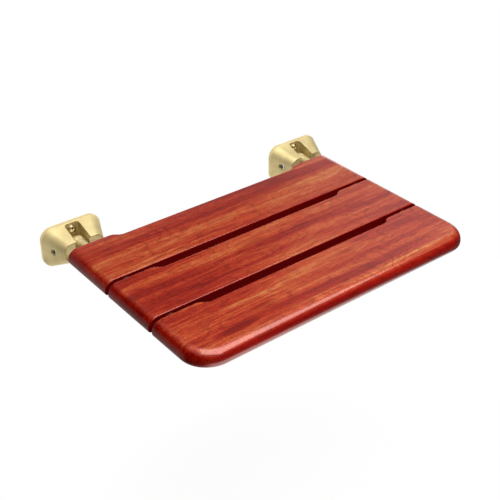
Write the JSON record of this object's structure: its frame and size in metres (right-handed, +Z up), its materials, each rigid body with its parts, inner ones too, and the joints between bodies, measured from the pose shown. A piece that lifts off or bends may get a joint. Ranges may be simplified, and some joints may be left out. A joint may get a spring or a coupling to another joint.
{
  "type": "fold down wall seat",
  "caption": "Slatted hardwood seat on round metal arms that folds up about cast wall brackets, with screws for wall studs.",
  "frame": {"origin": "on the wall plane, midway between the two brackets and at the middle height of their flanges", "axes": "+X along the wall to the right of someone facing it, +Y into the wall, +Z up; the seat stands out towards -Y"},
  "size_m": [0.4986, 0.3984, 0.0606],
  "materials": {
    "varnished_hardwood": "gloss varnish",
    "satin_brass": "satin",
    "screw_brass": "polished",
    "stainless_steel": "turned",
    "bearing_plastic": "moulded"
  },
  "bodies": {
    "wall_mount": {"left_bracket": "satin_brass", "right_bracket": "satin_brass", "left_wall_screws": "screw_brass", "right_wall_screws": "screw_brass", "left_wall_washers": "screw_brass", "right_wall_washers": "screw_brass", "left_pivot_screw": "stainless_steel", "right_pivot_screw": "stainless_steel", "left_outer_thrust_washer": "bearing_plastic", "left_inner_thrust_washer": "bearing_plastic", "right_outer_thrust_washer": "bearing_plastic", "right_inner_thrust_washer": "bearing_plastic"},
    "seat": {"rear_slat": "varnished_hardwood", "middle_slat": "varnished_hardwood", "front_slat": "varnished_hardwood", "left_arm": "satin_brass", "right_arm": "satin_brass", "left_pivot_bush": "bearing_plastic", "right_pivot_bush": "bearing_plastic", "left_slat_screws": "screw_brass", "right_slat_screws": "screw_brass"}
  },
  "joints": [
    {"name": "seat_fold", "type": "hinge", "parent": "wall_mount", "child": "seat", "pos_m": [0, -0.0238, 0.0036], "axis": [-1, 0, 0], "range_deg": [0, 90]}
  ]
}
